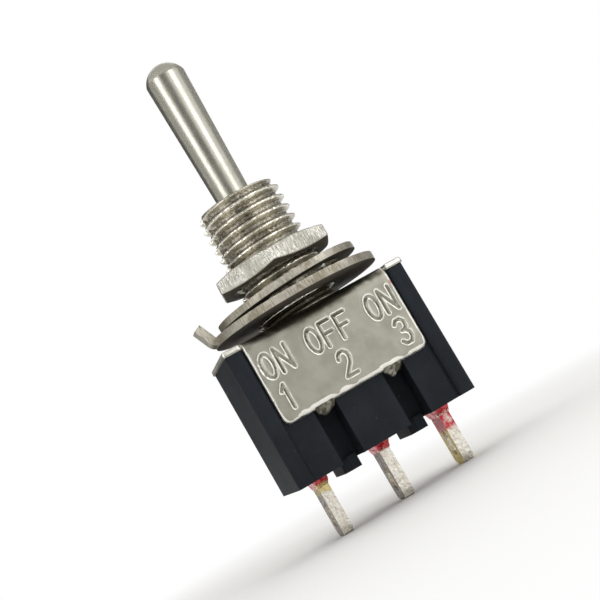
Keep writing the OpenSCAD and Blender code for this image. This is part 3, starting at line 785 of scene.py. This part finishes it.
def sheet_outline():
    """Outline of the unfolded sheet: X, and the path across the plate, bends and flanges."""
    corner = arc(FRAME_HALF - EAR_ROUND, EAR_HALF - EAR_ROUND, EAR_ROUND, 0, 90, 5)
    corner += [(SLOT_END, EAR_HALF), (SLOT_END, BEND_AT), (FLANGE_HALF, BEND_AT)]
    corner += arc(FLANGE_HALF - FLANGE_ROUND, TIP - FLANGE_ROUND, FLANGE_ROUND, 0, 90, 8)
    upper = corner + [(-x, y) for x, y in reversed(corner)]
    return upper + [(-x, -y) for x, y in upper]


def spaced(loop, step):
    """A closed loop's points, with others added so that no gap is longer than step."""
    out = []
    for (ax, ay), (bx, by) in zip(loop, loop[1:] + loop[:1]):
        parts = max(1, math.ceil(math.hypot(bx - ax, by - ay) / step))
        out += [(ax + (bx - ax) * i / parts, ay + (by - ay) * i / parts) for i in range(parts)]
    return out


def inside(points, loop):
    """Whether each point is inside a closed loop."""
    hits = np.zeros(len(points), dtype=int)
    for (ax, ay), (bx, by) in zip(loop, loop[1:] + loop[:1]):
        if ay == by:
            continue
        crosses = (points[:, 1] < max(ay, by)) & (points[:, 1] >= min(ay, by))
        at = ax + (points[:, 1] - ay) * (bx - ax) / (by - ay)
        hits += crosses & (at > points[:, 0])
    return hits % 2 == 1


def fold(x, s, offset):
    """Place of a point of the sheet once it is bent, at an offset outwards from its outer face."""
    side = 1 if s >= 0 else -1
    path = abs(s)
    if path <= BEND_AT or abs(x) > (SLOT_END + FLANGE_HALF) / 2:
        return (x, s, offset)
    angle = min((path - BEND_AT) / BEND_OUT, math.pi / 2)
    r = BEND_OUT + offset
    down = max(0.0, path - BEND_AT - BEND_PATH)
    return (x, side * (BEND_AT + r * math.sin(angle)), -BEND_OUT + r * math.cos(angle) - down)


def rows_beside(outline, edges):
    """Points in rows beside the sheet's outline, which carry its rolled edge."""
    rows = []
    for inset in EDGE_INSETS:
        for ax, ay, bx, by in edges:
            length = math.hypot(bx - ax, by - ay)
            x = (ax + bx) / 2 - (by - ay) / length * inset
            y = (ay + by) / 2 + (bx - ax) / length * inset
            rows.append((x, y, inset))
    rows = np.array(rows)
    clear = distance_to_segments(rows[:, :2], edges) > ROW_CLEAR * rows[:, 2]
    return rows[clear & inside(rows[:, :2], outline), :2]


def sheet_mesh(outline, edges):
    """Points and faces of the unfolded sheet, with a fine grid where its front is stamped."""
    hole = arc(0, 0, HOLE_RADIUS, 0, 360, HOLE_STEPS)[:-1]
    xs = np.linspace(-FINE_HALF, FINE_HALF, FINE_GRID[0])
    ss = np.linspace(-TIP + FINE_MARGINS[0], -BEND_END - FINE_MARGINS[1], FINE_GRID[1])
    border = [(x, ss[0]) for x in xs[:-1]] + [(xs[-1], s) for s in ss[:-1]]
    border += [(x, ss[-1]) for x in xs[:0:-1]] + [(xs[0], s) for s in ss[:0:-1]]
    across = np.arange(-FRAME_HALF, FRAME_HALF, COARSE_STEPS[0])
    along = np.arange(-TIP, TIP, COARSE_STEPS[1])
    coarse = np.array([(x, s) for x in across for s in along])
    outside_hole = np.hypot(coarse[:, 0], coarse[:, 1]) > HOLE_RADIUS + HOLE_CLEAR
    coarse = coarse[inside(coarse, outline) & outside_hole]
    coarse = coarse[distance_to_segments(coarse, edges) > EDGE_CLEAR]
    coarse = coarse[~in_rectangle(coarse, xs, ss, FINE_CLEAR)]
    loose = np.concatenate([rows_beside(outline, edges), coarse])
    flat = outline + hole + border + [tuple(q) for q in loose]
    loops, first = [], 0
    for loop in (outline, hole, border):
        loops += [(first + i, first + (i + 1) % len(loop)) for i in range(len(loop))]
        first += len(loop)
    made = delaunay_2d_cdt([Vector(q) for q in flat], loops, [], 0, MERGE)
    verts = [tuple(v) for v in made[0]]
    tris = np.array(made[2])
    middle = np.array(verts)[tris].mean(axis=1)
    outside_hole = np.hypot(middle[:, 0], middle[:, 1]) > HOLE_RADIUS * HOLE_CUT
    keep = inside(middle, outline) & outside_hole & ~in_rectangle(middle, xs, ss, 0.0)
    cells = [tuple(f) for f in tris[keep].tolist()]
    found = {(round(x, 4), round(s, 4)): i for i, (x, s) in enumerate(verts)}
    grid = {}
    for i, x in enumerate(xs):
        for k, s in enumerate(ss):
            key = (round(x, 4), round(s, 4))
            if key not in found:
                found[key] = len(verts)
                verts.append((x, s))
            grid[i, k] = found[key]
    for i in range(len(xs) - 1):
        for k in range(len(ss) - 1):
            cells.append((grid[i, k], grid[i + 1, k], grid[i + 1, k + 1], grid[i, k + 1]))
    verts = np.array(verts)
    return verts, [face if turns_left(verts, face) else face[::-1] for face in cells]


def rim_of(cells):
    """The sides of a flat mesh's faces that no second face shares."""
    sides = set()
    for face in cells:
        for a, b in zip(face, face[1:] + face[:1]):
            if (b, a) in sides:
                sides.remove((b, a))
            else:
                sides.add((a, b))
    return sorted(sides)


def frame_piece():
    """The frame's sheet, with rolled edges and generic characters stamped in its front flange."""
    outline = spaced(sheet_outline(), EDGE_STEP)
    edges = np.array([a + b for a, b in zip(outline, outline[1:] + outline[:1])])
    verts, cells = sheet_mesh(outline, edges)
    rise, wear_and_painted_light = sheet_relief(verts, edges)
    points = [fold(x, s, h) for (x, s), h in zip(verts, rise)]
    points += [fold(x, s, -SHEET) for x, s in verts]
    count = len(verts)
    faces = cells + [tuple(i + count for i in reversed(f)) for f in cells]
    faces += [(b, a, a + count, b + count) for a, b in rim_of(cells)]
    wear_and_painted_light += [0.0] * count
    for side in (-1, 1):
        for place in (-TAB_PLACE, TAB_PLACE):
            tab_points, tab_faces = crimp_tab(side, place, len(points))
            points += tab_points
            faces += tab_faces
            wear_and_painted_light += [-0.4 + 1.1 * wander(x, z, 0.3, y) for x, y, z in tab_points]
    points = [(x * MM, y * MM, z * MM) for x, y, z in points]
    piece = mesh_piece("frame_sheet", points, faces, "housing", "frame", ["frame"])
    set_wear_and_painted_light(piece, wear_and_painted_light)
    piece.data.set_sharp_from_angle(angle=math.radians(50))


def in_rectangle(points, xs, ss, margin):
    """Whether each point is in the rectangle of a grid, or within a margin of it."""
    x, s = points[:, 0], points[:, 1]
    across = (x > xs[0] - margin) & (x < xs[-1] + margin)
    return across & (s > ss[0] - margin) & (s < ss[-1] + margin)


def turns_left(verts, face):
    """Whether a flat face runs counterclockwise."""
    (ax, ay), (bx, by), (cx, cy) = verts[face[0]], verts[face[1]], verts[face[2]]
    return (bx - ax) * (cy - ay) - (by - ay) * (cx - ax) > 0


def sheet_relief(verts, edges):
    """Height of the sheet's outer face over its true place, and its painted light, at each point.
    """
    off = distance_to_segments(verts, edges)
    stamped = np.full(len(verts), UNSTAMPED)
    front = verts[:, 1] < -BEND_END
    at_z = np.stack([verts[:, 0], -BEND_OUT + (-np.abs(verts[:, 1]) + BEND_END)], axis=1)
    stamped[front] = distance_to_segments(at_z[front], stamped_strokes())
    rises, painted_lights = [], []
    for i, (x, s) in enumerate(verts):
        rise, wear_and_painted_light = surface_relief(x, s, off[i])
        if stamped[i] < STAMP_REACH:
            rise, wear_and_painted_light = stamp_relief(x, s, stamped[i], rise, wear_and_painted_light)
        rises.append(rise)
        painted_lights.append(wear_and_painted_light)
    return rises, painted_lights


def surface_relief(x, s, off):
    """Height and painted light at a point, which is `off` mm from the nearest edge, without the
    stamping.
    """
    rise = 0.0
    low_edge = max(0.0, 1 - (TIP - abs(s)) / LOW_BAND)
    radius = EDGE_ROLL + EDGE_ROLL * low_edge * (1 + wander(x, s * 0.3, 0.5, 3.1))
    radius += 0.03 * wander(x, s, 0.35, 7.7)
    if off < radius:
        rise -= radius - math.sqrt(radius**2 - (radius - off) ** 2)
    rise += DENTS * wander(x, s, 2.6, 1.3) * min(1.0, off / 0.5)
    rise += RIPPLE * wander(x, s, 0.4, 5.3) * min(1.0, off / 0.3)
    # Painted highlight: a bright band along the edges, wider and more uneven along the lower edge
    # and near the tabs.
    smear = 0.28 * low_edge * bell(abs(x), TAB_PLACE, 0.6)
    uneven = (0.06 + 0.30 * low_edge) * wander(x, s, 0.55, 4.4)
    band = BRIGHT_BAND + 0.25 * low_edge + smear + uneven
    wear_and_painted_light = clamp((band + 0.05 - off) / BRIGHT_FADE)
    # Painted shade in the bends and round the washers.
    bend = max(0.0, 1 - abs((abs(s) - BEND_END + BEND_SHADE_UP) / BEND_SHADE_REACH))
    wear_and_painted_light -= (0.5 + 0.7 * wander(x, s, 0.35, 8.8)) * bend * min(1.0, off / 0.3)
    wear_and_painted_light -= 0.5 * max(0.0, 1 - max(0.0, math.hypot(x, s) - WASHER_SHADE) / WASHER_SHADE_FADE)
    return rise, wear_and_painted_light


def stamp_relief(x, s, off, rise, wear_and_painted_light):
    """That height and painted light with the nearest stamped stroke, which is `off` mm from the
    point.
    """
    depth = STAMP_DEPTH * (1 + 0.4 * wander(x, s, 0.6, 9.2))
    share = min(off / STAMP_SLOPE, 1.0)
    rise -= depth * (1 - share * share * (3 - 2 * share))
    rise += STAMP_RIM * bell(off, STAMP_RIM_AT, STAMP_RIM_WIDTH)
    # Painted highlight on the rim beside each stroke, and painted shade in its groove.
    rim_highlight = 0.75 * bell(off, 0.15, 0.05) * (1 + 0.5 * wander(x, s, 0.4, 2.2))
    groove_shade = 0.35 * bell(off, 0.0, 0.06) * (1 + 0.6 * wander(x, s, 0.5, 6.2))
    return rise, max(wear_and_painted_light, rim_highlight) - groove_shade


def crimp_tab(side, place, first):
    """A rough half disc that hangs from a flange's lower edge and leans into the channel."""
    points, faces = [], []
    ring = TAB_STEPS + 1
    layer_size = 1 + TAB_ROWS * ring
    lean, upright = math.sin(TAB_ANGLE), math.cos(TAB_ANGLE)
    for layer in range(2):
        for i in range(TAB_ROWS + 1):
            for k in range(ring if i else 1):
                a = math.pi * k / TAB_STEPS
                r = TAB_RADIUS * i / TAB_ROWS * (1 + 0.08 * wander(k * 0.4, place, 1.0, side))
                x = place + r * math.cos(a)
                out = TAB_ROUGH * wander(x, r * math.sin(a) * 2, 0.3, 4.0 + side)
                if i == TAB_ROWS and layer == 0:
                    out -= TAB_LIP
                depth = out - layer * SHEET
                down = TAB_DROP * r * math.sin(a)
                y = FLANGE_FACE - down * lean + depth * upright
                z = FLANGE_END + TAB_LAP - down * upright - depth * lean
                points.append((x, side * y, z))
    starts = [first] + [first + 1 + i * ring for i in range(TAB_ROWS)]
    for i in range(TAB_ROWS):
        for k in range(TAB_STEPS):
            outer = starts[i + 1] + k
            inner = (starts[i] + k, starts[i] + k + 1) if i else (first,)
            front = inner + (outer + 1, outer)
            faces += [front, tuple(v + layer_size for v in reversed(front))]
    lower = [starts[TAB_ROWS] + k for k in range(ring)]
    for a, b in zip(lower, lower[1:]):
        faces.append((a, b, b + layer_size, a + layer_size))
    for i in range(TAB_ROWS):
        a, b = starts[i], starts[i + 1]
        faces.append((a, b, b + layer_size, a + layer_size))
        a, b = a + (TAB_STEPS if i else 0), b + TAB_STEPS
        faces.append((b, a, a + layer_size, b + layer_size))
    if side > 0:
        faces = [tuple(reversed(f)) for f in faces]
    return points, faces


# ---------------------------------------------------------------- seals and spring

LUG_LENGTH = 4.0 * MM
LUG_THICK = 0.76 * MM
LUG_WIDE = 2.0 * MM
# The collars' mesh, how square they are round the lug, and how they flare into the well
SEAL_ROWS = 20
SEAL_COLUMNS = 64
SEAL_SQUARE = 8
SEAL_FLARE = 1.25
SEAL_INSETS = (0.12 * MM, 0.22 * MM)
# How far the resin stands off the lug, bulges, and is ridged, and where its lower edge thins out
SEAL_SKIN = 0.05 * MM
SEAL_BULGE = 0.05 * MM
SEAL_RIDGE = 0.05
SEAL_THINS = (0.88, 0.12)
# How far up in the well it starts, and how much longer it is than what shows of the CAD's collar
SEAL_BURIED = 0.06 * MM
SEAL_LONGER = 0.02 * MM
# How far down the front of each collar the resin still covers the metal
RESIN_FALL = (0.30, 0.55, 0.45)

# The spring's wire and turns, the turns at each end that are closed, and the mesh's steps
WIRE_RADIUS = 0.09 * MM
WIRE_SIDES = 12
SPRING_TURNS = 6
SPRING_CLOSED = 0.75
CLOSED_PITCH = 2.2 * WIRE_RADIUS
SPRING_STEPS = 32


def seal_piece(side, column):
    """Sealing resin round a lug: it fills the well and runs unevenly a little way down the lug."""
    node = "terminal_seal_" + side
    low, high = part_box(node)
    lug_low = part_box("terminal_" + ("common" if side == "center" else side))[0]
    base_low = lug_low.z + LUG_LENGTH
    middle = (low.x + high.x) / 2
    wide, deep = (high.x - low.x) / 2, (high.y - low.y) / 2
    points, bare = [], []
    for row in range(SEAL_ROWS + 1):
        t = row / SEAL_ROWS
        swell = math.sin(math.pi * t)
        flare = (1 - t) ** SEAL_FLARE
        thinned = max(0.0, (t - SEAL_THINS[0]) / SEAL_THINS[1])
        over = SEAL_SKIN * math.sqrt(max(0.0, 1 - thinned**2))
        for i in range(SEAL_COLUMNS):
            a = math.tau * i / SEAL_COLUMNS
            c, s = math.cos(a), math.sin(a)
            square = (abs(c) ** SEAL_SQUARE + abs(s) ** SEAL_SQUARE) ** (-1 / SEAL_SQUARE)
            wave = noise.noise(Vector((c * 1.3, s * 1.3 + column * 5, 0.3)))
            lump = 0.5 + noise.noise(Vector((c * 2.2 + t * 1.5, s * 2.2 + column * 7, t * 2.5)))
            ridge = noise.noise(Vector((c * 5, column * 9, t * 6))) * SEAL_RIDGE * MM * swell
            x = LUG_THICK / 2 + over + (wide - SEAL_INSETS[0] - LUG_THICK / 2) * flare
            x += SEAL_BULGE * lump * swell
            y = LUG_WIDE / 2 + 3 * over + ridge + (deep - SEAL_INSETS[1] - LUG_WIDE / 2) * flare
            reach = t * (base_low - low.z + SEAL_LONGER) * (0.9 + 0.09 * wave)
            z = base_low + SEAL_BURIED - reach
            points.append((middle + x * c * square, y * s * square, z))
            bare.append(1.2 * t - RESIN_FALL[column] if s < -0.5 else 0.0)
    rings = SEAL_ROWS + 1
    faces = ring_faces(rings, SEAL_COLUMNS, flip=True) + end_caps(rings, SEAL_COLUMNS)
    piece = mesh_piece("resin_seal_" + side, points, faces, "housing", "resin", [node])
    set_wear_and_painted_light(piece, bare)


def spring_piece():
    """The plunger's spring, of round wire with closed end turns; it rides on the lever's body."""
    low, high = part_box("plunger_spring")
    coil = (high.x - low.x) / 2 - WIRE_RADIUS
    height = high.z - low.z - 2 * WIRE_RADIUS
    closed = CLOSED_PITCH * SPRING_CLOSED
    turns = (0, SPRING_CLOSED, SPRING_TURNS - SPRING_CLOSED, SPRING_TURNS)
    heights = (0, closed, height - closed, height)
    steps = SPRING_STEPS * SPRING_TURNS
    points = []
    for i in range(steps + 1):
        turn = SPRING_TURNS * i / steps
        z = np.interp(turn, turns, heights)
        a = math.tau * turn
        for k in range(WIRE_SIDES):
            b = math.tau * k / WIRE_SIDES
            r = coil + WIRE_RADIUS * math.cos(b)
            up = low.z + WIRE_RADIUS * (1 + math.sin(b)) + z
            points.append((r * math.cos(a), r * math.sin(a), up))
    faces = ring_faces(steps + 1, WIRE_SIDES, flip=True) + end_caps(steps + 1, WIRE_SIDES)
    piece = mesh_piece("coil_spring", points, faces, "lever", "spring", ["plunger_spring"])
    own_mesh(piece)


def dress_nodes():
    """Gives every CAD node its material, and some of them rounded edges."""
    for name, key in NODE_MATERIALS.items():
        paint(frame["nodes"][name], key)
    for name, width in ROUNDING.items():
        round_node_edges(name, width)


# ---------------------------------------------------------------- stage, light and camera

# Cards that the metal reflects: azimuth, elevation, size in mm and grey
FLAGS = {
    "flag_top": (-17, 82, (260, 260), 0.85),
    "flag_front": (-17, 6, (110, 240), 0.24),
    "flag_side": (-92, 10, (130, 240), 0.62),
    "flag_left": (-150, 10, (170, 240), 0.18),
    "flag_right": (112, 10, (200, 240), 0.55),
}
FLAG_DISTANCE = 160 * MM
FLOOR_HALF = 600 * MM
# Where the floor starts and ends turning white, in mm from the middle
FLOOR_FADE = (16.0, 60.0)


def facing(azimuth, elevation, distance, roll=0.0, aim=Vector((0, 0, 0))):
    """Matrix of a camera, lamp or card that looks at a point. Azimuth 0 stands in front, at -Y."""
    a, e = math.radians(azimuth), math.radians(elevation)
    back = Vector((math.sin(a) * math.cos(e), -math.cos(a) * math.cos(e), math.sin(e)))
    turn = (-back).to_track_quat("-Z", "Y").to_matrix().to_4x4()
    turn = turn @ Matrix.Rotation(math.radians(roll), 4, "Z")
    return Matrix.Translation(aim + back * distance) @ turn


def area_light(name, azimuth, elevation, distance, size, power):
    """A soft rectangular lamp that faces the switch, its distance and size in millimetres."""
    data = bpy.data.lights.new(name, "AREA")
    data.shape = "RECTANGLE"
    data.size, data.size_y = (side * MM for side in size)
    data.energy = power
    lamp = linked(name, data)
    lamp.matrix_world = facing(azimuth, elevation, distance * MM)
    return lamp


def rectangle(name, x, y, z=0.0):
    """A flat mesh at a height z that reaches x and y to each side."""
    mesh = bpy.data.meshes.new(name)
    mesh.from_pydata([(-x, -y, z), (x, -y, z), (x, y, z), (-x, y, z)], [], [(0, 1, 2, 3)])
    return mesh


def backdrop_rays(tree):
    """1 for the rays that see the white backdrop: from the camera, off gloss and through glass."""
    path = tree.nodes.new("ShaderNodeLightPath")
    total = path.outputs["Is Camera Ray"]
    for name in ("Is Glossy Ray", "Is Transmission Ray"):
        adder = tree.nodes.new("ShaderNodeMath")
        adder.operation = "ADD"
        adder.use_clamp = True
        tree.links.new(total, adder.inputs[0])
        tree.links.new(path.outputs[name], adder.inputs[1])
        total = adder.outputs[0]
    return total


def world():
    """White backdrop; for diffuse light, a plain pale room that is darker in front."""
    made = bpy.data.worlds.new("studio")
    bpy.context.scene.world = made
    made.use_nodes = True
    tree = made.node_tree
    nodes, links = tree.nodes, tree.links
    back = nodes["Background"]
    room = nodes.new("ShaderNodeBackground")
    coords = nodes.new("ShaderNodeTexCoord")
    split = nodes.new("ShaderNodeSeparateXYZ")
    links.new(coords.outputs["Generated"], split.inputs[0])
    spread = nodes.new("ShaderNodeMapRange")
    spread.interpolation_type = "SMOOTHSTEP"
    # In front, at Y -0.7, its strength is 0.34, and at Y 0.5 and beyond it is 0.95
    for socket, value in zip(spread.inputs, (0.0, -0.7, 0.5, 0.34, 0.95)):
        socket.default_value = value
    links.new(split.outputs["Y"], spread.inputs[0])
    links.new(spread.outputs[0], room.inputs["Strength"])
    room.inputs["Color"].default_value = (1.0, 0.985, 0.96, 1)
    back.inputs["Strength"].default_value = 1.0
    back.inputs["Color"].default_value = (1, 1, 1, 1)
    mixer = nodes.new("ShaderNodeMixShader")
    links.new(backdrop_rays(tree), mixer.inputs[0])
    links.new(room.outputs[0], mixer.inputs[1])
    links.new(back.outputs[0], mixer.inputs[2])
    links.new(mixer.outputs[0], nodes["World Output"].inputs["Surface"])


def flag(name, azimuth, elevation, size, grey):
    """A grey card that only gloss sees, so that metal shows it in place of the backdrop."""
    mesh = rectangle(name, *(side * MM / 2 for side in size))
    card = linked(name, mesh)
    card.matrix_world = facing(azimuth, elevation, FLAG_DISTANCE)
    s = Surface(name, Roughness=1.0, Specular_IOR_Level=0.0)
    s.colour((grey, grey, grey))
    mesh.materials.append(s.material)
    card.visible_camera = False
    card.visible_diffuse = False
    card.visible_shadow = False


def floor():
    """A pale floor under the lugs that turns to the backdrop's white away from the switch."""
    mesh = rectangle("floor", FLOOR_HALF, FLOOR_HALF, cad_box[0].z)
    ground = linked("floor", mesh)
    s = Surface("floor", Roughness=0.9)
    s.colour((0.86, 0.86, 0.85))
    white = s.node("ShaderNodeEmission", Color=(1.0, 1.0, 1.0), Strength=1.0)
    distance = s.node("ShaderNodeVectorMath", "Value", {"operation": "LENGTH"}, Vector=s.place)
    share = s.math("MULTIPLY", s.ramp(distance, *FLOOR_FADE), backdrop_rays(s.tree))
    mixer = s.tree.nodes.new("ShaderNodeMixShader")
    s.put(mixer.inputs[0], share)
    s.put(mixer.inputs[1], s.shader.outputs[0])
    s.put(mixer.inputs[2], white)
    s.put(s.tree.nodes["Material Output"].inputs["Surface"], mixer.outputs[0])
    mesh.materials.append(s.material)


def camera():
    """The camera at the photograph's angle."""
    data = bpy.data.cameras.new("camera")
    data.lens = CAMERA_LENS
    data.sensor_width = SENSOR_WIDTH
    data.clip_start, data.clip_end = 1 * MM, 5000 * MM
    made = linked("camera", data)
    made.matrix_world = facing(CAMERA_AZIMUTH, CAMERA_ELEVATION, CAMERA_DISTANCE, -CAMERA_ROLL, AIM)
    bpy.context.scene.camera = made


def lights():
    """A key lamp that only gloss sees, a soft fill, and a top lamp that gloss doesn't see."""
    key = area_light("key", -58, 30, 130, (40, 120), 0.035)
    key.visible_diffuse = False
    area_light("fill", 34, 28, 140, (40, 120), 0.040)
    top = area_light("top", 10, 75, 120, (120, 120), 0.06)
    top.visible_glossy = False


camera()
world()
floor()
lights()
for name, values in FLAGS.items():
    flag(name, *values)
dress_nodes()
bushing_piece()
frame_piece()
spring_piece()
for column, side in enumerate(("left", "center", "right")):
    seal_piece(side, column)
bpy.context.scene.view_settings.view_transform = "Standard"
